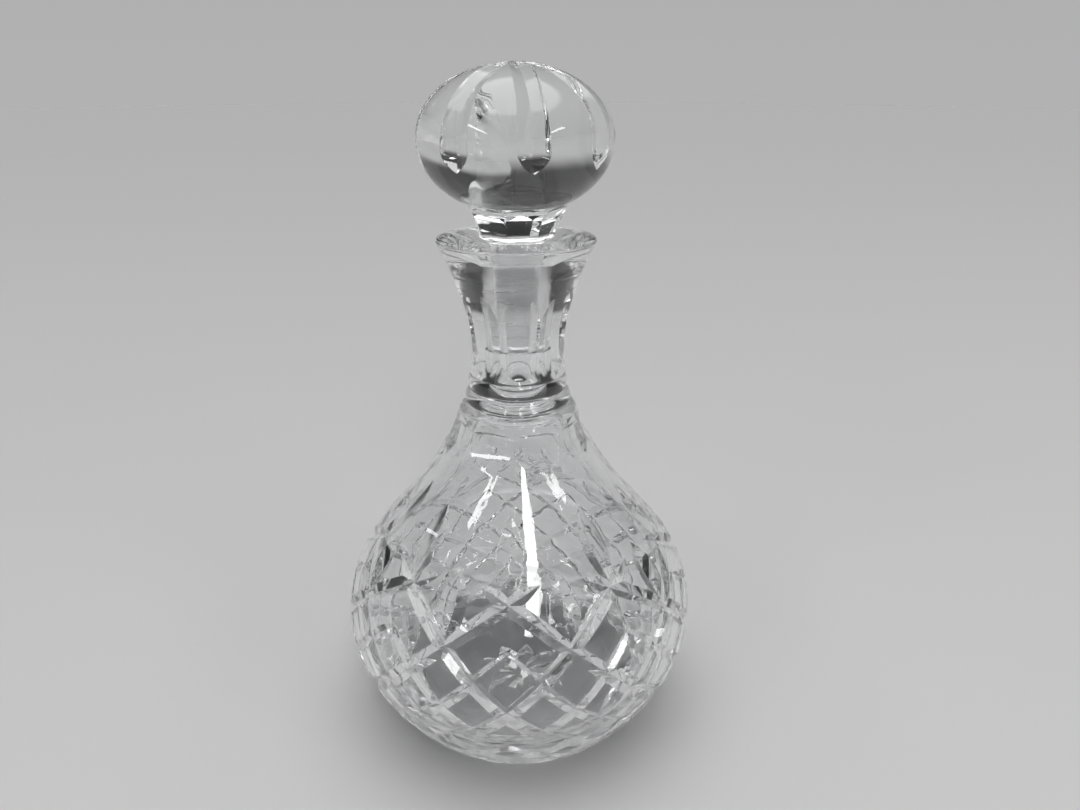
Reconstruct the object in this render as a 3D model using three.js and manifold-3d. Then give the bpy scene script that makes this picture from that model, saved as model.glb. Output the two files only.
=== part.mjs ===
// Cut crystal decanter with its ground glass stopper.
// Millimetres, +Z up. The origin is the middle of the foot, on the surface that it stands on.
// An azimuth of 0 faces the front, which is -Y, and azimuths grow towards +X.

import * as THREE from "three";
import { mergeVertices } from "three/addons/utils/BufferGeometryUtils.js";
import Module from "manifold-3d";

const wasm = await Module();
wasm.setup();

// Driving dimensions of the outside, from the foot up to the lip
const FOOT_RADIUS = 45;
const FOOT_CURVE = { radius: 7, height: 6 };
const BELLY_RADIUS = 70.5;
const BELLY_HEIGHT = 48;
const BELLY_CURVE_BELOW = 20;
const BELLY_CURVE_ABOVE = 37;
const SHOULDER_RISE = 87.5;
const SHOULDER_CURVE = { radius: 16, drop: 44.6 };
const COLLAR_RADIUS = 22.6;
const COLLAR_ROUNDING = 2.2;
const LOWER_RING = { groove: 18.2, bulge: 2, height: 6 };
const UPPER_RING = { groove: 17.4, bulge: 1.4, height: 6.4 };
const NECK_RADIUS = 18.1;
const NECK_FOOT_ROUNDING = 2;
const NECK_STRAIGHT = 6;
const NECK_CURVE = 21;
const NECK_FLARE_HEIGHT = 42.5;
const LIP_RADIUS = 28.8;
const LIP_EDGE = 0.8;
const RIM_WIDTH = 8.6;
const RIM_RISE = 1.4;

// Driving dimensions of the hollow
const WALL = 6.5;
const BASE_THICKNESS = 12;
const FLOOR_CURVE = { radius: 20, height: 8 };
const CHANNEL_RADIUS = 7.6;
const CHANNEL_LENGTH = 6;
const THROAT_CURVE = 6;
const MOUTH_DEPTH = 5.6;

// Driving dimensions of the stopper
const PLUG_LENGTH = 36;
const PLUG_RADIUS = 8.2;
const PLUG_TAPER = 0.05;
const PLUG_CHAMFER = 0.6;
const FIT = 0.3;
const SHANK_RADIUS = 11.8;
const SHANK_DROP = 1.6;
const STOPPER_NECK_RADIUS = 13.9;
const STOPPER_NECK_DROP = 0.6;
const STOPPER_NECK_CURVE = { straight: 3.1, inset: 1.6, drop: 4.3 };
const BALL_RADIUS = 34.2;
const BALL_HEIGHT = 50;
const BALL_LIFT = 7;
const BALL_JOIN_RADIUS = 18.8;

// Driving dimensions of the cuts. Flare is half of a cut's width over its depth.
const REPEATS = 9;
const FIRST_AZIMUTH = -4.3;
const MITRE_REACH = 39;
const MITRE_TILT = { above: 45, below: 40 };
const MITRE_FLARE = 1.6;
const MAIN_MITRE = { above: 52, below: 54, depth: 1.9, runOut: 12 };
const LATTICE_MITRE = { above: 21, below: 54, depth: 1.4, runOut: 6 };
const LEAF_FLARE = 2.6;
const UPPER_LEAF = { rise: 25, depth: 2.1 };
const LOWER_LEAF = { rise: 22.5, depth: 2.3 };
const PANEL_LENGTH = 13;
const PANEL_DROP = 2;
const PANEL_RUN_OUT = { below: 9, above: 2 };
const FLUTES = 8;
const FLUTE_AZIMUTH = 2.5;
const FLUTE_LENGTH = 33;
const FLUTE_RUN_OUT = { below: 9, above: 14 };
const STAR_RAYS = 10;
const STAR_AZIMUTH = -10;
const STAR_RADIUS = 22;
const STAR_CENTRE = 2.5;
const STAR_DEPTH = 2;
const STAR_FLARE = 2.2;
const BALL_CUTS = 8;
const BALL_CUT_AZIMUTH = 10;
const BALL_CUT = { from: 6, to: 111, depth: 2.5 };
const FACET_RUN_OUT = 2;

// Fineness of the faceted surfaces
const BODY_SIDES = 32;
const HOLLOW_SIDES = 24;
const NECK_SIDES = 24;
const BALL_SIDES = 32;
const BODY_STEPS = 6;
const NECK_STEPS = 6;
const SHORT_STEPS = 3;
const MITRE_STEP = 11;
const LEAF_STEPS = 4;

// What a cutter stands proud of the surface, and how far a cut's end lifts off it
const CUTTER_STANDOFF = 1.5;
const END_LIFT = 0.25;
const MERGE_DISTANCE = 1e-4;
const SEARCH_STEPS = 40;

// Heights and radii that follow from the sizes above
const collarHeight = BELLY_HEIGHT + SHOULDER_RISE;
const lowerRingHeight = collarHeight + COLLAR_ROUNDING;
const upperRingHeight = lowerRingHeight + LOWER_RING.height;
const neckHeight = upperRingHeight + UPPER_RING.height;
const flareHeight = neckHeight + NECK_FOOT_ROUNDING + NECK_STRAIGHT;
const lipHeight = flareHeight + NECK_FLARE_HEIGHT;
const mouthHeight = lipHeight + RIM_RISE;
const mouthRadius = LIP_RADIUS - RIM_WIDTH;
const plugTopHeight = mouthHeight - MOUTH_DEPTH;
const plugBottomHeight = plugTopHeight - PLUG_LENGTH;
const plugBottomRadius = PLUG_RADIUS - PLUG_LENGTH * PLUG_TAPER;
const channelTopHeight = plugBottomHeight - FIT;
const ballMiddleHeight = mouthHeight + BALL_LIFT + BALL_HEIGHT / 2;

const radians = THREE.MathUtils.degToRad;
const point = (radius, height) => new THREE.Vector2(radius, height);

// Curves of the outside, all running upwards, as radius and height
const bellyCurve = new THREE.CubicBezierCurve(
  point(FOOT_RADIUS, 0),
  point(FOOT_RADIUS + FOOT_CURVE.radius, FOOT_CURVE.height),
  point(BELLY_RADIUS, BELLY_HEIGHT - BELLY_CURVE_BELOW),
  point(BELLY_RADIUS, BELLY_HEIGHT),
);
const shoulderCurve = new THREE.CubicBezierCurve(
  point(BELLY_RADIUS, BELLY_HEIGHT),
  point(BELLY_RADIUS, BELLY_HEIGHT + BELLY_CURVE_ABOVE),
  point(COLLAR_RADIUS + SHOULDER_CURVE.radius, collarHeight - SHOULDER_CURVE.drop),
  point(COLLAR_RADIUS, collarHeight),
);
const neckLine = new THREE.LineCurve(
  point(NECK_RADIUS, neckHeight),
  point(NECK_RADIUS, flareHeight),
);
const neckCurve = new THREE.QuadraticBezierCurve(
  point(NECK_RADIUS, flareHeight),
  point(NECK_RADIUS, flareHeight + NECK_CURVE),
  point(LIP_RADIUS, lipHeight),
);
const ballCurve = new THREE.EllipseCurve(
  0,
  ballMiddleHeight,
  BALL_RADIUS,
  BALL_HEIGHT / 2,
  -Math.PI / 2,
  Math.PI / 2,
);
const ballJoin = Math.acos(BALL_JOIN_RADIUS / BALL_RADIUS);
const joinHeight = ballMiddleHeight - (BALL_HEIGHT / 2) * Math.sin(ballJoin);
const stopperNeckCurve = new THREE.CubicBezierCurve(
  point(STOPPER_NECK_RADIUS, mouthHeight - STOPPER_NECK_DROP),
  point(STOPPER_NECK_RADIUS, mouthHeight - STOPPER_NECK_DROP + STOPPER_NECK_CURVE.straight),
  point(BALL_JOIN_RADIUS - STOPPER_NECK_CURVE.inset, joinHeight - STOPPER_NECK_CURVE.drop),
  point(BALL_JOIN_RADIUS, joinHeight),
);

// The parameter at which a rising curve passes a height
function passesHeight(curve, height) {
  let low = 0;
  let high = 1;
  for (let i = 0; i < SEARCH_STEPS; i += 1) {
    const middle = (low + high) / 2;
    if (curve.getPoint(middle).y < height) low = middle;
    else high = middle;
  }
  return low;
}

const curveRadius = (curve, height) => curve.getPoint(passesHeight(curve, height)).x;
const bodyCurveAt = (height) => (height < BELLY_HEIGHT ? bellyCurve : shoulderCurve);
const neckRadius = (height) => curveRadius(height < flareHeight ? neckLine : neckCurve, height);

// A place on a turned surface, with the outward normal there
function surfacePlace(curve, parameter, azimuth) {
  const place = curve.getPoint(parameter);
  const tangent = curve.getTangent(parameter);
  const side = Math.sin(radians(azimuth));
  const front = -Math.cos(radians(azimuth));
  return {
    point: new THREE.Vector3(place.x * side, place.x * front, place.y),
    normal: new THREE.Vector3(tangent.y * side, tangent.y * front, -tangent.x),
  };
}

// A closed geometry as a solid that can be joined and cut
function solidOf(geometry) {
  const bare = geometry.index ? geometry.toNonIndexed() : geometry.clone();
  bare.deleteAttribute("normal");
  bare.deleteAttribute("uv");
  const merged = mergeVertices(bare, MERGE_DISTANCE);
  const mesh = new wasm.Mesh({
    numProp: 3,
    vertProperties: merged.attributes.position.array,
    triVerts: new Uint32Array(merged.index.array),
  });
  return new wasm.Manifold(mesh);
}

// A solid turned about the vertical axis from an outline that starts and ends on it
function turned(outline, sides) {
  const geometry = new THREE.LatheGeometry(outline, sides);
  geometry.rotateX(Math.PI / 2);
  return solidOf(geometry);
}

function cut(body, cutters) {
  return cutters.reduce((rest, cutter) => rest.subtract(cutter), body);
}

function repeated(count, first, makeCutter) {
  return Array.from({ length: count }, (_, i) => makeCutter(first + (i * 360) / count));
}

// A V-shaped cutter that follows stations of point, normal and depth below the surface
function mitreCutter(stations, flare) {
  const positions = [];
  const faces = [];
  const last = stations.length - 1;
  stations.forEach((station, i) => {
    const before = stations[Math.max(i - 1, 0)].point;
    const after = stations[Math.min(i + 1, last)].point;
    const along = after.clone().sub(before).normalize();
    const across = along.clone().cross(station.normal).normalize();
    const up = across.clone().cross(along);
    const reach = flare * (station.depth + CUTTER_STANDOFF);
    const top = station.point.clone().addScaledVector(up, CUTTER_STANDOFF);
    const bottom = station.point.clone().addScaledVector(up, -station.depth);
    positions.push(...bottom.toArray());
    positions.push(...top.clone().addScaledVector(across, reach).toArray());
    positions.push(...top.clone().addScaledVector(across, -reach).toArray());
  });
  for (let i = 0; i < last; i += 1) {
    for (let side = 0; side < 3; side += 1) {
      const a = 3 * i + side;
      const b = 3 * i + ((side + 1) % 3);
      faces.push(a, b + 3, b, a, a + 3, b + 3);
    }
  }
  faces.push(0, 1, 2, 3 * last, 3 * last + 2, 3 * last + 1);
  const geometry = new THREE.BufferGeometry();
  geometry.setAttribute("position", new THREE.Float32BufferAttribute(positions, 3));
  geometry.setIndex(faces);
  return solidOf(geometry);
}

// A flat-floored cutter beside a turned surface: the floors of all the cuts together make
// a prism with as many sides, and each floor runs out of the surface at its two ends
function flatCutter({ radiusAt, from, to, runBelow, runAbove, sides, width, steps, azimuth }) {
  const fullness = (height) => {
    const below = (height - from) / runBelow;
    const above = (to - height) / runAbove;
    const share = THREE.MathUtils.clamp(Math.min(below, above), 0, 1);
    return Math.sin((share * Math.PI) / 2);
  };
  const fullDepth = 1 - Math.cos(Math.PI / sides);
  const outline = new THREE.Shape();
  outline.moveTo(width, from);
  for (let i = 0; i <= steps; i += 1) {
    const height = THREE.MathUtils.lerp(from, to, i / steps);
    outline.lineTo(radiusAt(height) * (1 - fullDepth * fullness(height)), height);
  }
  outline.lineTo(width, to);
  const geometry = new THREE.ExtrudeGeometry(outline, { depth: width, bevelEnabled: false });
  geometry.translate(0, 0, -width / 2);
  geometry.rotateX(Math.PI / 2);
  geometry.rotateZ(radians(azimuth) - Math.PI / 2);
  return solidOf(geometry);
}

// Height at which a mitre cut lies, by its swing: the azimuth left before it crosses the
// belly's widest circle. Each cut lies in a tilted plane through the middle of that circle.
function mitreHeight(swing) {
  const tilt = swing > 0 ? MITRE_TILT.above : MITRE_TILT.below;
  const slope = Math.tan(radians(tilt)) * Math.sin(radians(swing));
  let low = 0;
  let high = collarHeight;
  for (let i = 0; i < SEARCH_STEPS; i += 1) {
    const middle = (low + high) / 2;
    const radius = curveRadius(bodyCurveAt(middle), middle);
    if (middle - BELLY_HEIGHT < radius * slope) low = middle;
    else high = middle;
  }
  return low;
}

// One long mitre cut, leaning to the right or to the left on its way down
function latticeCutter({ above, below, depth, runOut }, startAzimuth, lean) {
  const stations = [];
  const steps = Math.round((above + below) / MITRE_STEP);
  for (let i = 0; i <= steps; i += 1) {
    const swing = THREE.MathUtils.lerp(above, -below, i / steps);
    const height = mitreHeight(swing);
    const curve = bodyCurveAt(height);
    const azimuth = startAzimuth + lean * (MITRE_REACH - swing);
    const share = Math.min(1, (above - swing) / runOut, (swing + below) / runOut);
    stations.push({
      ...surfacePlace(curve, passesHeight(curve, height), azimuth),
      depth: (depth + END_LIFT) * Math.sin((share * Math.PI) / 2) - END_LIFT,
    });
  }
  return mitreCutter(stations, MITRE_FLARE);
}

// A pointed leaf cut that runs up a turned surface between two parameters of its curve
function leafCutter(curve, from, to, depth, azimuth) {
  const stations = [];
  for (let i = 0; i <= LEAF_STEPS; i += 1) {
    const share = i / LEAF_STEPS;
    const bow = 4 * share * (1 - share);
    stations.push({
      ...surfacePlace(curve, THREE.MathUtils.lerp(from, to, share), azimuth),
      depth: (depth + END_LIFT) * bow - END_LIFT,
    });
  }
  return mitreCutter(stations, LEAF_FLARE);
}

// One ray of the star under the foot
function rayCutter(azimuth) {
  const stations = [];
  for (let i = 0; i <= LEAF_STEPS; i += 1) {
    const share = i / LEAF_STEPS;
    const radius = THREE.MathUtils.lerp(STAR_CENTRE, STAR_RADIUS, share);
    const bow = 4 * share * (1 - share);
    const side = Math.sin(radians(azimuth));
    const front = -Math.cos(radians(azimuth));
    stations.push({
      point: new THREE.Vector3(radius * side, radius * front, 0),
      normal: new THREE.Vector3(0, 0, -1),
      depth: (STAR_DEPTH + END_LIFT) * bow - END_LIFT,
    });
  }
  return mitreCutter(stations, STAR_FLARE);
}

// A rounded ring of the neck, from one groove to the next
function ringOutline({ groove, bulge, height }, bottom) {
  const middle = bottom + height / 2;
  const arc = new THREE.EllipseCurve(groove, middle, bulge, height / 2, -Math.PI / 2, Math.PI / 2);
  return arc.getPoints(SHORT_STEPS);
}

// A quarter round from a foot of one radius to another, on the way up
function quarterRound(fromRadius, toRadius, bottom, height, outwards) {
  const corner = outwards ? point(toRadius, bottom) : point(fromRadius, bottom + height);
  const arc = new THREE.QuadraticBezierCurve(
    point(fromRadius, bottom),
    corner,
    point(toRadius, bottom + height),
  );
  return arc.getPoints(SHORT_STEPS);
}

// The body's outside, from the foot to the groove under the rings
function bodyOutline() {
  const rounding = quarterRound(
    COLLAR_RADIUS,
    LOWER_RING.groove,
    collarHeight,
    COLLAR_ROUNDING,
    false,
  );
  return [
    point(0, 0),
    ...bellyCurve.getPoints(BODY_STEPS - 1),
    ...shoulderCurve.getPoints(BODY_STEPS).slice(1),
    ...rounding.slice(1),
    point(0, lowerRingHeight),
  ];
}

// The neck's outside, from inside the collar to the rim of the mouth
function neckOutline() {
  return [
    point(0, collarHeight),
    point(LOWER_RING.groove, collarHeight),
    ...ringOutline(LOWER_RING, lowerRingHeight),
    ...ringOutline(UPPER_RING, upperRingHeight),
    ...quarterRound(UPPER_RING.groove, NECK_RADIUS, neckHeight, NECK_FOOT_ROUNDING, true),
    ...neckCurve.getPoints(NECK_STEPS).slice(0, -1),
    point(LIP_RADIUS, lipHeight - LIP_EDGE),
    point(LIP_RADIUS - LIP_EDGE, lipHeight),
    point(mouthRadius, mouthHeight),
    point(0, mouthHeight),
  ];
}

// The mouth and the ground bore that the plug sits in
function boreOutline() {
  const bottom = channelTopHeight - CHANNEL_LENGTH / 2;
  const mouthCurve = new THREE.QuadraticBezierCurve(
    point(PLUG_RADIUS + FIT, plugTopHeight),
    point(PLUG_RADIUS + FIT, plugTopHeight + MOUTH_DEPTH / 3),
    point(mouthRadius, mouthHeight),
  );
  return [
    point(0, bottom),
    point(PLUG_RADIUS + FIT - PLUG_TAPER * (plugTopHeight - bottom), bottom),
    ...mouthCurve.getPoints(SHORT_STEPS),
    point(mouthRadius, mouthHeight + CUTTER_STANDOFF),
    point(0, mouthHeight + CUTTER_STANDOFF),
  ];
}

// The hollow of the body, from its floor up to the channel under the bore
function hollowOutline() {
  const inset = (share) => {
    const place = shoulderCurve.getPoint(share);
    const tangent = shoulderCurve.getTangent(share);
    return point(place.x - WALL * tangent.y, place.y + WALL * tangent.x);
  };
  const wallRadius = BELLY_RADIUS - WALL;
  const floorCurve = new THREE.CubicBezierCurve(
    point(0, BASE_THICKNESS),
    point(wallRadius - FLOOR_CURVE.radius, BASE_THICKNESS),
    point(wallRadius, BASE_THICKNESS + FLOOR_CURVE.height),
    point(wallRadius, BELLY_HEIGHT),
  );
  const wall = [];
  for (let i = 1; i < BODY_STEPS; i += 1) wall.push(inset(i / BODY_STEPS));
  const throat = inset(1);
  const tangent = shoulderCurve.getTangent(1);
  const channelHeight = channelTopHeight - CHANNEL_LENGTH;
  const throatCurve = new THREE.CubicBezierCurve(
    throat,
    point(throat.x + THROAT_CURVE * tangent.x, throat.y + THROAT_CURVE * tangent.y),
    point(CHANNEL_RADIUS, channelHeight - THROAT_CURVE),
    point(CHANNEL_RADIUS, channelHeight),
  );
  return [
    ...floorCurve.getPoints(BODY_STEPS),
    ...wall,
    ...throatCurve.getPoints(SHORT_STEPS),
    point(CHANNEL_RADIUS, channelTopHeight),
    point(0, channelTopHeight),
  ];
}

function stopperOutline() {
  const joinShare = (Math.PI / 2 - ballJoin) / Math.PI;
  const ball = [];
  for (let i = 1; i <= 2 * NECK_STEPS; i += 1) {
    ball.push(ballCurve.getPoint(THREE.MathUtils.lerp(joinShare, 1, i / (2 * NECK_STEPS))));
  }
  const shankCurve = new THREE.QuadraticBezierCurve(
    point(PLUG_RADIUS, plugTopHeight),
    point(PLUG_RADIUS, plugTopHeight + SHANK_DROP),
    point(SHANK_RADIUS, mouthHeight - SHANK_DROP),
  );
  return [
    point(0, plugBottomHeight),
    point(plugBottomRadius - PLUG_CHAMFER, plugBottomHeight),
    point(plugBottomRadius, plugBottomHeight + PLUG_CHAMFER),
    ...shankCurve.getPoints(SHORT_STEPS),
    ...stopperNeckCurve.getPoints(NECK_STEPS),
    ...ball,
  ];
}

function makeDecanter() {
  const between = 180 / REPEATS;
  const mitres = [1, -1].flatMap((lean) => [
    ...repeated(REPEATS, FIRST_AZIMUTH, (azimuth) => latticeCutter(MAIN_MITRE, azimuth, lean)),
    ...repeated(REPEATS, FIRST_AZIMUTH - lean * between, (azimuth) =>
      latticeCutter(LATTICE_MITRE, azimuth, lean),
    ),
  ]);
  const leaf = ({ rise, depth }, swing) => (azimuth) => {
    const bottom = mitreHeight(swing);
    const from = passesHeight(shoulderCurve, bottom);
    const to = passesHeight(shoulderCurve, bottom + rise);
    return leafCutter(shoulderCurve, from, to, depth, azimuth);
  };
  const upperLeaves = repeated(REPEATS, FIRST_AZIMUTH, leaf(UPPER_LEAF, MITRE_REACH));
  const lowerLeaves = repeated(
    REPEATS,
    FIRST_AZIMUTH + between,
    leaf(LOWER_LEAF, MITRE_REACH - between),
  );
  const panels = repeated(REPEATS, FIRST_AZIMUTH + between, (azimuth) =>
    flatCutter({
      radiusAt: (height) => curveRadius(shoulderCurve, height),
      from: collarHeight - PANEL_DROP - PANEL_LENGTH,
      to: collarHeight - PANEL_DROP,
      runBelow: PANEL_RUN_OUT.below,
      runAbove: PANEL_RUN_OUT.above,
      sides: REPEATS,
      width: 2 * BELLY_RADIUS,
      steps: BODY_STEPS,
      azimuth,
    }),
  );
  const flutes = repeated(FLUTES, FLUTE_AZIMUTH, (azimuth) =>
    flatCutter({
      radiusAt: neckRadius,
      from: neckHeight + NECK_FOOT_ROUNDING,
      to: neckHeight + NECK_FOOT_ROUNDING + FLUTE_LENGTH,
      runBelow: FLUTE_RUN_OUT.below,
      runAbove: FLUTE_RUN_OUT.above,
      sides: FLUTES,
      width: 2 * LIP_RADIUS,
      steps: BODY_STEPS + SHORT_STEPS,
      azimuth,
    }),
  );
  const star = repeated(STAR_RAYS, STAR_AZIMUTH, rayCutter);
  const cutters = [...panels, ...flutes, ...mitres, ...upperLeaves, ...lowerLeaves, ...star];
  const glass = turned(bodyOutline(), BODY_SIDES).add(turned(neckOutline(), NECK_SIDES));
  const insides = [turned(hollowOutline(), HOLLOW_SIDES), turned(boreOutline(), NECK_SIDES)];
  return cut(glass, [...insides, ...cutters]);
}

function makeStopper() {
  const share = (angle) => 1 - angle / 180;
  const leaves = repeated(BALL_CUTS, BALL_CUT_AZIMUTH, (azimuth) =>
    leafCutter(ballCurve, share(BALL_CUT.to), share(BALL_CUT.from), BALL_CUT.depth, azimuth),
  );
  const bottom = stopperNeckCurve.getPoint(0).y;
  const top = stopperNeckCurve.getPoint(1).y;
  const facets = repeated(BALL_CUTS, BALL_CUT_AZIMUTH, (azimuth) =>
    flatCutter({
      radiusAt: (height) => curveRadius(stopperNeckCurve, height),
      from: bottom - STOPPER_NECK_DROP,
      to: top,
      runBelow: STOPPER_NECK_DROP,
      runAbove: FACET_RUN_OUT,
      sides: BALL_CUTS,
      width: 2 * BALL_RADIUS,
      steps: NECK_STEPS,
      azimuth,
    }),
  );
  return cut(turned(stopperOutline(), BALL_SIDES), [...facets, ...leaves]);
}

// A named mesh from a finished solid
function meshOf(name, solid, material) {
  const { vertProperties, triVerts } = solid.getMesh();
  const geometry = new THREE.BufferGeometry();
  geometry.setAttribute("position", new THREE.BufferAttribute(vertProperties, 3));
  geometry.setIndex(new THREE.BufferAttribute(triVerts, 1));
  const mesh = new THREE.Mesh(geometry, material);
  mesh.name = name;
  return mesh;
}

const crystal = new THREE.MeshStandardMaterial({ color: 0xdfe6e8, roughness: 0.04, metalness: 0 });
const stopperCrystal = new THREE.MeshStandardMaterial({
  color: 0xe4eaec,
  roughness: 0.05,
  metalness: 0,
});

const group = new THREE.Group();
group.add(meshOf("decanter", makeDecanter(), crystal));
group.add(meshOf("stopper", makeStopper(), stopperCrystal));

export default group;
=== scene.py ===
# Cut crystal decanter with a cut ball stopper, in metres, +Z up, with the front towards -Y.
# An azimuth of 0 faces the front, and azimuths grow towards +X.

import math

import bmesh
import bpy
import numpy as np
from mathutils import Matrix, Vector
from mathutils.geometry import interpolate_bezier


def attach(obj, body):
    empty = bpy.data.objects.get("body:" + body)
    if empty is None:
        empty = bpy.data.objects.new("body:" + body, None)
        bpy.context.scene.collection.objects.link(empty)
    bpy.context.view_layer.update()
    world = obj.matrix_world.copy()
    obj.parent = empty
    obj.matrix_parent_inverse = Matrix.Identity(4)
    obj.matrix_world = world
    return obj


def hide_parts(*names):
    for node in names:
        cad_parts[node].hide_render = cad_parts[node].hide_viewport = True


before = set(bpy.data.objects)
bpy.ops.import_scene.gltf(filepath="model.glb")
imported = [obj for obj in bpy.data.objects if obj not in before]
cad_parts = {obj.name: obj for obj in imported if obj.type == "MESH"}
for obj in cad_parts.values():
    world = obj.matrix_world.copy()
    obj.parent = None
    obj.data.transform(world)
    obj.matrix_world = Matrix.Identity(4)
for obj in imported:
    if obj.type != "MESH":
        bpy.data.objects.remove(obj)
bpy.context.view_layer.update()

# The camera stands close in front of the decanter, level with the top of its ball, and
# looks down on it with a short lens, as in the photograph.
CAMERA_PLACE = (0.0, -0.3007, 0.2583)
CAMERA_PITCH = 22.16
CAMERA_YAW = -1.62
CAMERA_LENS = 28.0
CAMERA_CLIP = 0.02

camera_data = bpy.data.cameras.new("photo_camera")
camera_data.lens = CAMERA_LENS
camera_data.clip_start = CAMERA_CLIP
camera = bpy.data.objects.new("photo_camera", camera_data)
camera.location = CAMERA_PLACE
camera.rotation_euler = (math.radians(90 - CAMERA_PITCH), 0, math.radians(CAMERA_YAW))
bpy.context.scene.collection.objects.link(camera)
bpy.context.scene.camera = camera

# The vessel is one thick wall of clear crystal, blown in a turned mould: foot, belly,
# shoulder and rounded collar, then two rings, a straight neck and a flared lip.
FOOT_RADIUS = 0.045
FOOT_CURVE = (0.007, 0.006)
FOOT_EDGE = 0.0006
BELLY_RADIUS = 0.0705
BELLY_HEIGHT = 0.048
BELLY_CURVE_BELOW = 0.020
BELLY_CURVE_ABOVE = 0.037
COLLAR_RADIUS = 0.0226
COLLAR_HEIGHT = 0.1355
SHOULDER_CURVE = (0.016, 0.0446)
COLLAR_ROUNDING = 0.0022
LOWER_RING = {"groove": 0.0182, "bulge": 0.0020, "height": 0.0060}
UPPER_RING = {"groove": 0.0174, "bulge": 0.0014, "height": 0.0064}
NECK_RADIUS = 0.0181
NECK_FOOT_ROUNDING = 0.0020
NECK_STRAIGHT = 0.0060
NECK_CURVE = 0.0210
NECK_FLARE_HEIGHT = 0.0425
LIP_RADIUS = 0.0288
LIP_EDGE = 0.0009
LIP_BULGE = LIP_EDGE / 4
RIM_WIDTH = 0.0086
RIM_RISE = 0.0014
VESSEL_SIDES = 216
LONG_STEPS = 44
SHORT_STEPS = 10
SEED_SIZE = 0.001
WELD = 1e-6

lower_ring_height = COLLAR_HEIGHT + COLLAR_ROUNDING
upper_ring_height = lower_ring_height + LOWER_RING["height"]
neck_height = upper_ring_height + UPPER_RING["height"]
flare_height = neck_height + NECK_FOOT_ROUNDING + NECK_STRAIGHT
lip_height = flare_height + NECK_FLARE_HEIGHT
mouth_height = lip_height + RIM_RISE
mouth_radius = LIP_RADIUS - RIM_WIDTH


def curved(start, first_handle, second_handle, end, steps):
    """Points of radius and height along one curve of an outline, with both ends."""
    corners = [Vector((*corner, 0)) for corner in (start, first_handle, second_handle, end)]
    return [(point.x, point.y) for point in interpolate_bezier(*corners, steps + 1)]


def bowed(start, corner, end, steps):
    """A curve that leaves its start towards a corner and comes to its end from there. Its
    handles stand two thirds of the way to the corner, which makes it a parabola."""
    handles = [tuple(e + (c - e) * 2 / 3 for e, c in zip(tip, corner)) for tip in (start, end)]
    return curved(start, handles[0], handles[1], end, steps)


def ring_outline(ring, bottom):
    """A rounded ring of the neck, from one groove up to the next."""
    middle = bottom + ring["height"] / 2
    swings = [math.pi * (i / (2 * SHORT_STEPS) - 0.5) for i in range(2 * SHORT_STEPS + 1)]
    return [
        (ring["groove"] + ring["bulge"] * math.cos(s), middle + ring["height"] / 2 * math.sin(s))
        for s in swings
    ]


def start_drawing(place):
    """A new object in edit mode that holds one corner, selected, at a place."""
    bpy.ops.object.select_all(action="DESELECT")
    bpy.ops.mesh.primitive_plane_add(size=SEED_SIZE)
    bpy.ops.object.mode_set(mode="EDIT")
    bpy.ops.mesh.select_all(action="SELECT")
    bpy.ops.mesh.merge(type="CENTER")
    bpy.ops.transform.translate(value=place)
    return bpy.context.object


def draw_outline(outline):
    """Draws an outline of radius and height in the plane of X and Z, corner by corner."""
    drawn = start_drawing((outline[0][0], 0, outline[0][1]))
    for (radius, height), (next_radius, next_height) in zip(outline, outline[1:]):
        step = (next_radius - radius, 0, next_height - height)
        bpy.ops.mesh.extrude_region_move(TRANSFORM_OT_translate={"value": step})
    bpy.ops.mesh.select_all(action="SELECT")
    return drawn


def turned(name, outline, sides):
    """Turns an outline that starts and ends on the axis into a closed solid."""
    solid = draw_outline(outline)
    bpy.ops.mesh.spin(steps=sides, angle=math.tau, center=(0, 0, 0), axis=(0, 0, 1))
    bpy.ops.mesh.select_all(action="SELECT")
    bpy.ops.mesh.remove_doubles(threshold=WELD)
    bpy.ops.mesh.normals_make_consistent(inside=False)
    bpy.ops.object.mode_set(mode="OBJECT")
    solid.name = name
    return solid


body_outline = curved(
    (FOOT_RADIUS, 0),
    (FOOT_RADIUS + FOOT_CURVE[0], FOOT_CURVE[1]),
    (BELLY_RADIUS, BELLY_HEIGHT - BELLY_CURVE_BELOW),
    (BELLY_RADIUS, BELLY_HEIGHT),
    LONG_STEPS,
)
shoulder_outline = curved(
    (BELLY_RADIUS, BELLY_HEIGHT),
    (BELLY_RADIUS, BELLY_HEIGHT + BELLY_CURVE_ABOVE),
    (COLLAR_RADIUS + SHOULDER_CURVE[0], COLLAR_HEIGHT - SHOULDER_CURVE[1]),
    (COLLAR_RADIUS, COLLAR_HEIGHT),
    LONG_STEPS,
)
body_outline += shoulder_outline[1:]
collar_outline = bowed(
    (COLLAR_RADIUS, COLLAR_HEIGHT),
    (COLLAR_RADIUS, lower_ring_height),
    (LOWER_RING["groove"], lower_ring_height),
    SHORT_STEPS,
)
neck_outline = bowed(
    (UPPER_RING["groove"], neck_height),
    (NECK_RADIUS, neck_height),
    (NECK_RADIUS, neck_height + NECK_FOOT_ROUNDING),
    SHORT_STEPS,
)
flare_outline = bowed(
    (NECK_RADIUS, flare_height),
    (NECK_RADIUS, flare_height + NECK_CURVE),
    (LIP_RADIUS, lip_height - LIP_EDGE),
    LONG_STEPS,
)
rim_slope = RIM_RISE / RIM_WIDTH
lip_outline = bowed(
    (LIP_RADIUS, lip_height - LIP_EDGE),
    (LIP_RADIUS + LIP_BULGE, lip_height),
    (LIP_RADIUS - LIP_EDGE, lip_height + rim_slope * LIP_EDGE),
    SHORT_STEPS,
)
vessel_outline = [(0, 0), (FOOT_RADIUS - FOOT_EDGE, 0)]
vessel_outline += body_outline[1:]
vessel_outline += collar_outline[1:]
vessel_outline += ring_outline(LOWER_RING, lower_ring_height)[1:]
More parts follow.
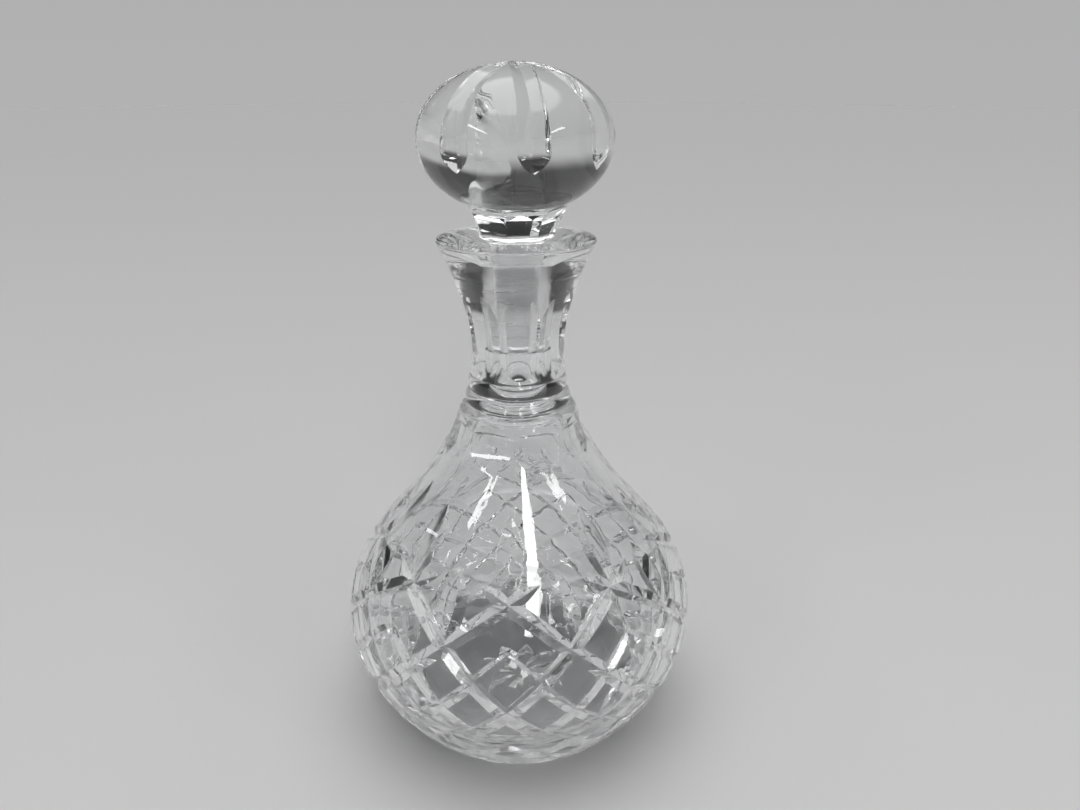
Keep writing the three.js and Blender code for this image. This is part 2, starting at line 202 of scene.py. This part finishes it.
vessel_outline += ring_outline(UPPER_RING, upper_ring_height)[1:]
vessel_outline += neck_outline[1:]
vessel_outline += flare_outline + lip_outline[1:]
vessel_outline += [(mouth_radius, mouth_height), (0, mouth_height)]
vessel = turned("decanter_glass", vessel_outline, VESSEL_SIDES)

# The hollow is what the breath leaves inside: it follows the outside at the depth of the
# wall, with a thicker base, and closes to a channel under the neck. Above that the bore
# is ground to the taper of the plug, and opens into a bowl-shaped mouth.
WALL = 0.0065
BASE_THICKNESS = 0.012
FLOOR_CURVE = (0.020, 0.008)
CHANNEL_RADIUS = 0.0076
CHANNEL_LENGTH = 0.006
THROAT_CURVE = 0.006
MOUTH_DEPTH = 0.0056
MOUTH_UPRIGHT = MOUTH_DEPTH / 3
PLUG_LENGTH = 0.036
PLUG_RADIUS = 0.0082
PLUG_TAPER = 0.05
BORE_GAP = 0.00015
HOLLOW_SIDES = 144
TOOL_STANDOFF = 0.0015

plug_top = mouth_height - MOUTH_DEPTH
plug_bottom = plug_top - PLUG_LENGTH
plug_bottom_radius = PLUG_RADIUS - PLUG_LENGTH * PLUG_TAPER
channel_top = plug_bottom - BORE_GAP


def inset_outline(outline, depth):
    """The same outline, moved inwards by a depth, square to itself."""
    points = np.array(outline)
    along = np.gradient(points, axis=0)
    along /= np.linalg.norm(along, axis=1)[:, None]
    inward = np.column_stack((-along[:, 1], along[:, 0]))
    return [tuple(p) for p in points + depth * inward]


wall_radius = BELLY_RADIUS - WALL
hollow_outline = curved(
    (0, BASE_THICKNESS),
    (wall_radius - FLOOR_CURVE[0], BASE_THICKNESS),
    (wall_radius, BASE_THICKNESS + FLOOR_CURVE[1]),
    (wall_radius, BELLY_HEIGHT),
    LONG_STEPS // 2,
)
shoulder_inside = inset_outline(shoulder_outline, WALL)
hollow_outline += shoulder_inside[1::2]
throat, before_throat = Vector(shoulder_inside[-1]), Vector(shoulder_inside[-2])
throat_handle = throat + THROAT_CURVE * (throat - before_throat).normalized()
channel_height = channel_top - CHANNEL_LENGTH
hollow_outline += curved(
    tuple(throat),
    tuple(throat_handle),
    (CHANNEL_RADIUS, channel_height - THROAT_CURVE),
    (CHANNEL_RADIUS, channel_height),
    2 * SHORT_STEPS,
)
bore_radius = PLUG_RADIUS + BORE_GAP
hollow_outline += [(CHANNEL_RADIUS, channel_top)]
hollow_outline += [(bore_radius - PLUG_TAPER * (plug_top - channel_top), channel_top)]
hollow_outline += bowed(
    (bore_radius, plug_top),
    (bore_radius, plug_top + MOUTH_UPRIGHT),
    (mouth_radius, mouth_height),
    2 * SHORT_STEPS,
)
hollow_top = mouth_height + TOOL_STANDOFF
hollow_outline += [(mouth_radius, hollow_top), (0, hollow_top)]
hollow = turned("hollow", hollow_outline, HOLLOW_SIDES)


def work(solid, tools, operation):
    """Joins tools to a solid, or cuts them out of it, and throws them away."""
    bpy.ops.object.select_all(action="DESELECT")
    bpy.context.view_layer.objects.active = solid
    for tool in tools:
        step = solid.modifiers.new("work", "BOOLEAN")
        step.solver = "MANIFOLD"
        step.operation = operation
        step.object = tool
        bpy.ops.object.modifier_apply(modifier=step.name)
        bpy.data.objects.remove(tool)


work(vessel, [hollow], "DIFFERENCE")

# All the cuts are ground into the cold crystal with wheels. A flat wheel makes nine short
# panels around the top of the shoulder, under the collar, and eight flutes up the neck.
REPEATS = 9
FIRST_AZIMUTH = -4.3
PANEL_LENGTH = 0.013
PANEL_DROP = 0.002
PANEL_RUN_OUT = (0.009, 0.002)
FLUTES = 8
FLUTE_AZIMUTH = 2.5
FLUTE_LENGTH = 0.033
FLUTE_RUN_OUT = (0.009, 0.014)
WHEEL_STEPS = 40

body_radii, body_heights = np.array(body_outline).T
neck_radii, neck_heights = np.array(neck_outline + flare_outline).T


def flat_wheel(azimuth, radius_at, heights, run_out, sides, width):
    """A flat-floored tool upright beside a turned surface. The floors of all its copies
    make a prism, and each floor runs out of the surface at its two ends."""
    full_depth = 1 - math.cos(math.pi / sides)
    bottom, top = heights
    outline = [(width, bottom)]
    for height in np.linspace(bottom, top, WHEEL_STEPS + 1):
        share = min((height - bottom) / run_out[0], (top - height) / run_out[1], 1)
        depth = full_depth * math.sin(share * math.pi / 2)
        outline.append((radius_at(height) * (1 - depth), height))
    outline.append((width, top))
    tool = draw_outline(outline)
    bpy.ops.mesh.edge_face_add()
    bpy.ops.transform.translate(value=(0, -width / 2, 0))
    bpy.ops.mesh.extrude_region_move(TRANSFORM_OT_translate={"value": (0, width, 0)})
    bpy.ops.mesh.select_all(action="SELECT")
    bpy.ops.mesh.normals_make_consistent(inside=False)
    bpy.ops.object.mode_set(mode="OBJECT")
    tool.data.transform(Matrix.Rotation(math.radians(azimuth - 90), 4, "Z"))
    return tool


def around(tool, count):
    """A tool and its copies, spread evenly around the axis."""
    copies = [tool]
    for i in range(1, count):
        copy = tool.copy()
        copy.data = tool.data.copy()
        copy.data.transform(Matrix.Rotation(math.tau * i / count, 4, "Z"))
        bpy.context.scene.collection.objects.link(copy)
        copies.append(copy)
    return copies


panel_top = COLLAR_HEIGHT - PANEL_DROP
panel_wheel = flat_wheel(
    FIRST_AZIMUTH + 180 / REPEATS,
    lambda height: np.interp(height, body_heights, body_radii),
    (panel_top - PANEL_LENGTH, panel_top),
    PANEL_RUN_OUT,
    REPEATS,
    2 * BELLY_RADIUS,
)
flute_bottom = neck_height + NECK_FOOT_ROUNDING
flute_wheel = flat_wheel(
    FLUTE_AZIMUTH,
    lambda height: np.interp(height, neck_heights, neck_radii),
    (flute_bottom, flute_bottom + FLUTE_LENGTH),
    FLUTE_RUN_OUT,
    FLUTES,
    2 * LIP_RADIUS,
)
work(vessel, around(panel_wheel, REPEATS) + around(flute_wheel, FLUTES), "DIFFERENCE")

# A V-edged wheel makes the mitre cuts: long grooves that lean both ways over the body and
# leave diamonds between them. Each lies in a tilted plane through the middle of the belly.
# Nine each way cross at the feet of the upper leaves, and nine more start lower, between.
MITRE_REACH = 39.0
MITRE_TILT = (45.0, 40.0)
MITRE_FLARE = 1.6
MAIN_MITRE = {"above": 52.0, "below": 62.0, "depth": 0.0019, "run_out": 12.0}
LATTICE_MITRE = {"above": 21.0, "below": 62.0, "depth": 0.0014, "run_out": 6.0}
MITRE_STEP = 2.0
END_LIFT = 0.00025


def on_surface(radii, heights, position, azimuth):
    """A place on a turned surface, by its position along the outline, and its normal."""
    index = np.arange(len(radii))
    radius = np.interp(position, index, radii)
    height = np.interp(position, index, heights)
    slopes = [np.interp(position, index, np.gradient(values)) for values in (radii, heights)]
    along = Vector(slopes).normalized()
    side, front = math.sin(math.radians(azimuth)), -math.cos(math.radians(azimuth))
    place = Vector((radius * side, radius * front, height))
    return place, Vector((along.y * side, along.y * front, -along.x))


def v_wheel(stations, flare):
    """A V-edged tool drawn through stations of place, outward normal and depth."""
    bpy.ops.object.select_all(action="DESELECT")
    bpy.ops.mesh.primitive_circle_add(vertices=3, radius=SEED_SIZE, fill_type="NGON")
    tool = bpy.context.object
    bpy.ops.object.mode_set(mode="EDIT")
    bpy.ops.mesh.select_all(action="SELECT")
    for i, (place, normal, depth) in enumerate(stations):
        if i:
            bpy.ops.mesh.extrude_region()
        before, after = stations[max(i - 1, 0)][0], stations[min(i + 1, len(stations) - 1)][0]
        along = (after - before).normalized()
        across = along.cross(normal).normalized()
        up = across.cross(along)
        reach = flare * (depth + TOOL_STANDOFF)
        top = place + TOOL_STANDOFF * up
        corners = [place - depth * up, top + reach * across, top - reach * across]
        edit = bmesh.from_edit_mesh(tool.data)
        for vertex, corner in zip([v for v in edit.verts if v.select], corners):
            vertex.co = corner
        bmesh.update_edit_mesh(tool.data)
    bpy.ops.mesh.select_all(action="SELECT")
    bpy.ops.mesh.normals_make_consistent(inside=False)
    bpy.ops.object.mode_set(mode="OBJECT")
    return tool


def mitre_position(swing):
    """Where a mitre lies along the body's outline, by the azimuth left to the belly's
    widest circle."""
    slope = math.tan(math.radians(MITRE_TILT[0] if swing > 0 else MITRE_TILT[1]))
    rise = (body_heights - BELLY_HEIGHT) / body_radii
    return np.interp(slope * math.sin(math.radians(swing)), rise, np.arange(len(rise)))


def mitre_wheel(mitre, start_azimuth, lean):
    """One mitre, leaning to the right or to the left on its way down."""
    above, below, run_out = mitre["above"], mitre["below"], mitre["run_out"]
    stations = []
    for swing in np.linspace(above, -below, round((above + below) / MITRE_STEP) + 1):
        azimuth = start_azimuth + lean * (MITRE_REACH - swing)
        place, normal = on_surface(body_radii, body_heights, mitre_position(swing), azimuth)
        share = min(1, (above - swing) / run_out, (swing + below) / run_out)
        depth = (mitre["depth"] + END_LIFT) * math.sin(share * math.pi / 2) - END_LIFT
        stations.append((place, normal, float(depth)))
    return v_wheel(stations, MITRE_FLARE)


between = 180 / REPEATS
for lean in (1, -1):
    main_wheel = mitre_wheel(MAIN_MITRE, FIRST_AZIMUTH, lean)
    lattice_wheel = mitre_wheel(LATTICE_MITRE, FIRST_AZIMUTH - lean * between, lean)
    work(vessel, around(main_wheel, REPEATS) + around(lattice_wheel, REPEATS), "DIFFERENCE")

# A blunter V makes the pointed leaves, which stand in two rows between the upper mitres,
# each with a sharp crease, and a star of ten rays is cut under the foot.
LEAF_FLARE = 2.6
UPPER_LEAF = {"rise": 0.0250, "depth": 0.0021}
LOWER_LEAF = {"rise": 0.0225, "depth": 0.0023}
STAR_RAYS = 10
STAR_AZIMUTH = -10.0
STAR_RADIUS = 0.022
STAR_CENTRE = 0.0025
STAR_DEPTH = 0.0020
STAR_FLARE = 2.2
LEAF_STEPS = 24


def leaf_wheel(leaf, swing, azimuth):
    """A leaf that stands on a mitre at a swing and runs up the shoulder."""
    bottom = mitre_position(swing)
    bottom_height = np.interp(bottom, np.arange(len(body_heights)), body_heights)
    top = np.interp(bottom_height + leaf["rise"], body_heights, np.arange(len(body_heights)))
    stations = []
    for share in np.linspace(0, 1, LEAF_STEPS + 1):
        position = bottom + share * (top - bottom)
        place, normal = on_surface(body_radii, body_heights, position, azimuth)
        depth = (leaf["depth"] + END_LIFT) * 4 * share * (1 - share) - END_LIFT
        stations.append((place, normal, float(depth)))
    return v_wheel(stations, LEAF_FLARE)


def ray_wheel(azimuth):
    """One ray of the star, from near the middle of the foot outwards."""
    outward = Vector((math.sin(math.radians(azimuth)), -math.cos(math.radians(azimuth)), 0))
    stations = []
    for share in np.linspace(0, 1, LEAF_STEPS + 1):
        radius = STAR_CENTRE + share * (STAR_RADIUS - STAR_CENTRE)
        depth = (STAR_DEPTH + END_LIFT) * 4 * share * (1 - share) - END_LIFT
        stations.append((float(radius) * outward, Vector((0, 0, -1)), float(depth)))
    return v_wheel(stations, STAR_FLARE)


upper_wheel = leaf_wheel(UPPER_LEAF, MITRE_REACH, FIRST_AZIMUTH)
lower_wheel = leaf_wheel(LOWER_LEAF, MITRE_REACH - between, FIRST_AZIMUTH + between)
work(vessel, around(upper_wheel, REPEATS) + around(lower_wheel, REPEATS), "DIFFERENCE")
work(vessel, around(ray_wheel(STAR_AZIMUTH), STAR_RAYS), "DIFFERENCE")

# The crystal is clear and heavy, with a faint cool tint. Wheel-cut glass is polished in
# acid, which leaves a bright skin that waves a little, with faint smears and, on the
# foot, the fine scuffs of standing on shelves.
CRYSTAL_COLOUR = (0.985, 0.99, 0.995, 1.0)
CRYSTAL_IOR = 1.56
POLISH = {
    "Wave Size": 0.009,
    "Smear Size": 0.02,
    "Least": 0.0,
    "Most": 0.035,
    "Scuff Size": 0.0011,
    "Scuff Height": 0.0012,
    "Scuff Roughness": 0.3,
}
WAVE_HEIGHT = 0.00012
WAVE_DETAIL = 1.0
SMEAR_DETAIL = 6.0
SMEAR_TWIST = 1.5
SMEAR_RANGE = (0.5, 0.8)
SCUFF_DETAIL = 4.0
EDGE_ROUNDING = 0.00035
EDGE_SAMPLES = 8
SHARP_ANGLE = 14.0


def node(tree, kind, inputs=None, **settings):
    """A shader node with its settings made, and with inputs given as values or links."""
    made = tree.nodes.new(kind)
    for name, value in settings.items():
        setattr(made, name, value)
    for name, value in (inputs or {}).items():
        if isinstance(value, bpy.types.NodeSocket):
            tree.links.new(value, made.inputs[name])
        else:
            made.inputs[name].default_value = value
    return made


def polish_group():
    """Acid polish: a roughness with smears and foot scuffs, and a slow wave as height."""
    tree = bpy.data.node_groups.new("acid_polish", "ShaderNodeTree")
    for name in POLISH:
        tree.interface.new_socket(name=name, in_out="INPUT", socket_type="NodeSocketFloat")
    for name in ("Roughness", "Height"):
        tree.interface.new_socket(name=name, in_out="OUTPUT", socket_type="NodeSocketFloat")
    given = node(tree, "NodeGroupInput").outputs
    place = node(tree, "ShaderNodeTexCoord").outputs["Object"]

    def noise(size, detail, twist=0.0):
        scale = node(tree, "ShaderNodeMath", {0: 1.0, 1: given[size]}, operation="DIVIDE")
        look = {"Vector": place, "Scale": scale.outputs[0], "Detail": detail, "Distortion": twist}
        return node(tree, "ShaderNodeTexNoise", look).outputs[0]

    smeared = {"Value": noise("Smear Size", SMEAR_DETAIL, SMEAR_TWIST)}
    smeared["From Min"], smeared["From Max"] = SMEAR_RANGE
    smeared["To Min"], smeared["To Max"] = given["Least"], given["Most"]
    smear = node(tree, "ShaderNodeMapRange", smeared).outputs[0]
    height = node(tree, "ShaderNodeSeparateXYZ", {0: place}).outputs["Z"]
    low = node(tree, "ShaderNodeMath", {0: height, 1: given["Scuff Height"]}, operation="LESS_THAN")
    scuffed = {0: noise("Scuff Size", SCUFF_DETAIL), 1: low.outputs[0]}
    scuff = node(tree, "ShaderNodeMath", scuffed, operation="MULTIPLY").outputs[0]
    both = {0: scuff, 1: given["Scuff Roughness"], 2: smear}
    roughness = node(tree, "ShaderNodeMath", both, operation="MULTIPLY_ADD").outputs[0]
    wave = noise("Wave Size", WAVE_DETAIL)
    node(tree, "NodeGroupOutput", {"Roughness": roughness, "Height": wave})
    return tree


acid_polish = polish_group()


def crystal(name):
    """Clear polished crystal."""
    material = bpy.data.materials.new(name)
    material.use_nodes = True
    tree = material.node_tree
    shader = tree.nodes["Principled BSDF"]
    shader.inputs["Base Color"].default_value = CRYSTAL_COLOUR
    shader.inputs["Transmission Weight"].default_value = 1.0
    shader.inputs["IOR"].default_value = CRYSTAL_IOR
    polish = node(tree, "ShaderNodeGroup", node_tree=acid_polish)
    for socket, value in POLISH.items():
        polish.inputs[socket].default_value = value
    edge = node(tree, "ShaderNodeBevel", {"Radius": EDGE_ROUNDING}, samples=EDGE_SAMPLES)
    skin = {"Height": polish.outputs["Height"], "Normal": edge.outputs[0], "Distance": WAVE_HEIGHT}
    bump = node(tree, "ShaderNodeBump", skin)
    tree.links.new(polish.outputs["Roughness"], shader.inputs["Roughness"])
    tree.links.new(bump.outputs["Normal"], shader.inputs["Normal"])
    return material


# The bore and the plug are ground together with fine grit until they fit. That leaves
# them frosted white against the clear neck, in bands around them.
GROUND_COLOUR = (0.98, 0.985, 0.99, 1.0)
GROUND_TRANSMISSION = 0.90
GROUND_ROUGHNESS = (0.10, 0.30)
GRIT_SCALE = 2600.0
GRIT_DETAIL = 3.0
GRIT_HEIGHT = 0.00003
BAND_SCALE = 60.0
BAND_FLATNESS = 12.0
BAND_RANGE = (0.3, 0.7)


def ground_crystal(name):
    """Frosted crystal, as the grit leaves it."""
    material = bpy.data.materials.new(name)
    material.use_nodes = True
    tree = material.node_tree
    shader = tree.nodes["Principled BSDF"]
    shader.inputs["Base Color"].default_value = GROUND_COLOUR
    shader.inputs["Transmission Weight"].default_value = GROUND_TRANSMISSION
    shader.inputs["IOR"].default_value = CRYSTAL_IOR
    place = node(tree, "ShaderNodeTexCoord").outputs["Object"]
    grit_look = {"Vector": place, "Scale": GRIT_SCALE, "Detail": GRIT_DETAIL}
    grit = node(tree, "ShaderNodeTexNoise", grit_look).outputs[0]
    flattened = {"Vector": place, "Scale": (1.0, 1.0, BAND_FLATNESS)}
    band_place = node(tree, "ShaderNodeMapping", flattened).outputs[0]
    band_look = {"Vector": band_place, "Scale": BAND_SCALE, "Detail": GRIT_DETAIL}
    banded = {"Value": node(tree, "ShaderNodeTexNoise", band_look).outputs[0]}
    banded["From Min"], banded["From Max"] = BAND_RANGE
    banded["To Min"], banded["To Max"] = GROUND_ROUGHNESS
    roughness = node(tree, "ShaderNodeMapRange", banded)
    bump = node(tree, "ShaderNodeBump", {"Height": grit, "Distance": GRIT_HEIGHT})
    tree.links.new(roughness.outputs[0], shader.inputs["Roughness"])
    tree.links.new(bump.outputs["Normal"], shader.inputs["Normal"])
    return material


clear_crystal = crystal("clear_crystal")
frosted_crystal = ground_crystal("frosted_crystal")


def finish_glass(solid, radii, heights):
    """Smooths the turned faces, keeps the cuts sharp, and frosts the ground part, which
    is what lies between two radii and between two heights."""
    solid.data.materials.clear()
    solid.data.materials.append(clear_crystal)
    solid.data.materials.append(frosted_crystal)
    for face in solid.data.polygons:
        radius = math.hypot(face.center.x, face.center.y)
        inside = radii[0] < radius < radii[1] and heights[0] < face.center.z < heights[1]
        face.material_index = 1 if inside else 0
    bpy.ops.object.select_all(action="DESELECT")
    solid.select_set(True)
    bpy.context.view_layer.objects.active = solid
    bpy.ops.object.shade_smooth_by_angle(angle=math.radians(SHARP_ANGLE))


bore_radii = (plug_bottom_radius / 2, bore_radius + WELD)
finish_glass(vessel, bore_radii, (channel_top - WELD, plug_top))
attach(vessel, "decanter")
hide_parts("decanter")

# The stopper is one solid piece of crystal. A flattened ball stands on a waisted neck,
# and below that a clear shank widens out of the ground plug, which seats in the bore.
PLUG_EDGE = 0.0006
SHANK_RADIUS = 0.0118
SHANK_DROP = 0.0016
STOPPER_NECK_RADIUS = 0.0139
STOPPER_NECK_DROP = 0.0006
STOPPER_NECK_CURVE = {"straight": 0.0031, "inset": 0.0016, "drop": 0.0043}
BALL_RADIUS = 0.0342
BALL_HEIGHT = 0.050
BALL_LIFT = 0.007
BALL_JOIN_RADIUS = 0.0188
BALL_STEPS = 90
STOPPER_SIDES = 192

ball_middle = mouth_height + BALL_LIFT + BALL_HEIGHT / 2
ball_join = math.acos(BALL_JOIN_RADIUS / BALL_RADIUS)
join_height = ball_middle - BALL_HEIGHT / 2 * math.sin(ball_join)
neck_bottom = mouth_height - STOPPER_NECK_DROP
waist_outline = curved(
    (STOPPER_NECK_RADIUS, neck_bottom),
    (STOPPER_NECK_RADIUS, neck_bottom + STOPPER_NECK_CURVE["straight"]),
    (BALL_JOIN_RADIUS - STOPPER_NECK_CURVE["inset"], join_height - STOPPER_NECK_CURVE["drop"]),
    (BALL_JOIN_RADIUS, join_height),
    LONG_STEPS // 2,
)
ball_outline = [
    (BALL_RADIUS * math.cos(swing), ball_middle + BALL_HEIGHT / 2 * math.sin(swing))
    for swing in np.linspace(-math.pi / 2, math.pi / 2, BALL_STEPS + 1)
]
stopper_outline = [(0, plug_bottom), (plug_bottom_radius - PLUG_EDGE, plug_bottom)]
stopper_outline += [(plug_bottom_radius, plug_bottom + PLUG_EDGE)]
stopper_outline += bowed(
    (PLUG_RADIUS, plug_top),
    (PLUG_RADIUS, plug_top + SHANK_DROP),
    (SHANK_RADIUS, mouth_height - SHANK_DROP),
    SHORT_STEPS,
)
stopper_outline += waist_outline
stopper_outline += [place for place in ball_outline if place[1] > join_height + WELD][:-1]
stopper_outline += [(0, ball_middle + BALL_HEIGHT / 2)]
stopper = turned("stopper_glass", stopper_outline, STOPPER_SIDES)

# The stopper is cut with the same wheels. Eight flats run up its neck and end in scallops
# under the ball, and eight leaves come down the ball, widest just before their tips.
BALL_CUTS = 8
BALL_CUT_AZIMUTH = 10.0
FACET_RUN_OUT = 0.002
BALL_LEAF = {"tip": 110.0, "tip_run_out": 18.0, "top": 6.0, "top_run_out": 8.0}
BALL_LEAF_DEPTH = {"tip": 0.0028, "top": 0.0014}
BALL_LEAF_STEPS = 60

waist_radii, waist_heights = np.array(waist_outline).T
ball_radii, ball_heights = np.array(ball_outline).T
facet_wheel = flat_wheel(
    BALL_CUT_AZIMUTH,
    lambda height: np.interp(height, waist_heights, waist_radii),
    (neck_bottom - STOPPER_NECK_DROP, join_height),
    (STOPPER_NECK_DROP, FACET_RUN_OUT),
    BALL_CUTS,
    2 * BALL_RADIUS,
)


def ball_leaf_wheel(azimuth):
    """One leaf of the ball, from its lower tip upwards."""
    tip, top = BALL_LEAF["tip"], BALL_LEAF["top"]
    stations = []
    for angle in np.linspace(tip, top, BALL_LEAF_STEPS + 1):
        position = (1 - angle / 180) * BALL_STEPS
        from_tip = (tip - angle) / BALL_LEAF["tip_run_out"]
        from_top = (angle - top) / BALL_LEAF["top_run_out"]
        share = min(1, from_tip, from_top)
        full = np.interp(angle, (top, tip), (BALL_LEAF_DEPTH["top"], BALL_LEAF_DEPTH["tip"]))
        depth = (full + END_LIFT) * math.sin(share * math.pi / 2) - END_LIFT
        place, normal = on_surface(ball_radii, ball_heights, position, azimuth)
        stations.append((place, normal, float(depth)))
    return v_wheel(stations, LEAF_FLARE)


ball_wheel = ball_leaf_wheel(BALL_CUT_AZIMUTH)
work(stopper, around(facet_wheel, BALL_CUTS) + around(ball_wheel, BALL_CUTS), "DIFFERENCE")
plug_radii = (plug_bottom_radius - 2 * PLUG_EDGE, PLUG_RADIUS + WELD)
finish_glass(stopper, plug_radii, (plug_bottom - WELD, plug_top))
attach(stopper, "stopper")
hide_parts("stopper")

# The decanter stands on a plain pale floor. Its foot is a hair above the floor, so that
# light leaves the glass before it meets the floor.
FLOOR_RADIUS = 6.0
FLOOR_SIDES = 96
FLOOR_COLOUR = (0.62, 0.62, 0.62, 1.0)
FLOOR_ROUGHNESS = 0.9
FOOT_GAP = 0.0002

bpy.ops.object.select_all(action="DESELECT")
bpy.ops.mesh.primitive_circle_add(vertices=FLOOR_SIDES, radius=FLOOR_RADIUS, fill_type="NGON")
floor = bpy.context.object
floor.location.z = -FOOT_GAP
floor.name = "floor"
floor_material = bpy.data.materials.new("floor_paint")
floor_material.use_nodes = True
floor_shader = floor_material.node_tree.nodes["Principled BSDF"]
floor_shader.inputs["Base Color"].default_value = FLOOR_COLOUR
floor_shader.inputs["Roughness"].default_value = FLOOR_ROUGHNESS
floor_shader.inputs["Specular IOR Level"].default_value = 0.0
floor.data.materials.append(floor_material)

# The studio starts at the horizon in the floor's own shade. Above that it is dark, up to
# a broad bright ceiling, so the cuts have both dark and bright to show. Each shade stands
# with the upward part of the direction that it is seen in.
ROOM_SHADES = [(0.0, 0.445), (0.07, 0.435), (0.20, 0.02), (0.80, 0.02), (0.87, 2.3), (1.0, 2.3)]

world = bpy.data.worlds.new("studio")
bpy.context.scene.world = world
world.use_nodes = True
sky = world.node_tree
direction = node(sky, "ShaderNodeTexCoord").outputs["Generated"]
upward = node(sky, "ShaderNodeSeparateXYZ", {0: direction}).outputs["Z"]
room = node(sky, "ShaderNodeValToRGB", {"Fac": upward})
room.color_ramp.interpolation = "EASE"
while len(room.color_ramp.elements) < len(ROOM_SHADES):
    room.color_ramp.elements.new(1.0)
for stop, (height, shade) in zip(room.color_ramp.elements, ROOM_SHADES):
    stop.position = height
    stop.color = (shade, shade, shade, 1.0)
sky.links.new(room.outputs["Color"], sky.nodes["Background"].inputs["Color"])

# Three long lamps hang from the ceiling, side by side. They draw the bright streaks down
# the shoulder and the dashes on the ball.
CEILING_HEIGHT = 1.30
CEILING_LAMPS = {
    "middle_lamp": {"place": (0.27, -1.85), "size": (0.26, 1.50), "power": 14.0},
    "right_lamp": {"place": (1.85, -1.80), "size": (0.30, 1.60), "power": 14.0},
    "left_lamp": {"place": (-1.45, -1.50), "size": (0.16, 1.30), "power": 7.0},
}
for name, lamp in CEILING_LAMPS.items():
    light = bpy.data.lights.new(name, "AREA")
    light.shape = "RECTANGLE"
    light.size, light.size_y = lamp["size"]
    light.energy = lamp["power"]
    holder = bpy.data.objects.new(name, light)
    holder.location = (*lamp["place"], CEILING_HEIGHT)
    bpy.context.scene.collection.objects.link(holder)

# Light passes through many cut faces of the vessel and the stopper on its way, so it may
# bend and be thrown back more often than usual before it is given up.
GLASS_BOUNCES = 32
MIRROR_BOUNCES = 16
cycles = bpy.context.scene.cycles
cycles.max_bounces = GLASS_BOUNCES
cycles.transmission_bounces = GLASS_BOUNCES
cycles.glossy_bounces = MIRROR_BOUNCES
bpy.context.scene.view_settings.view_transform = "Standard"
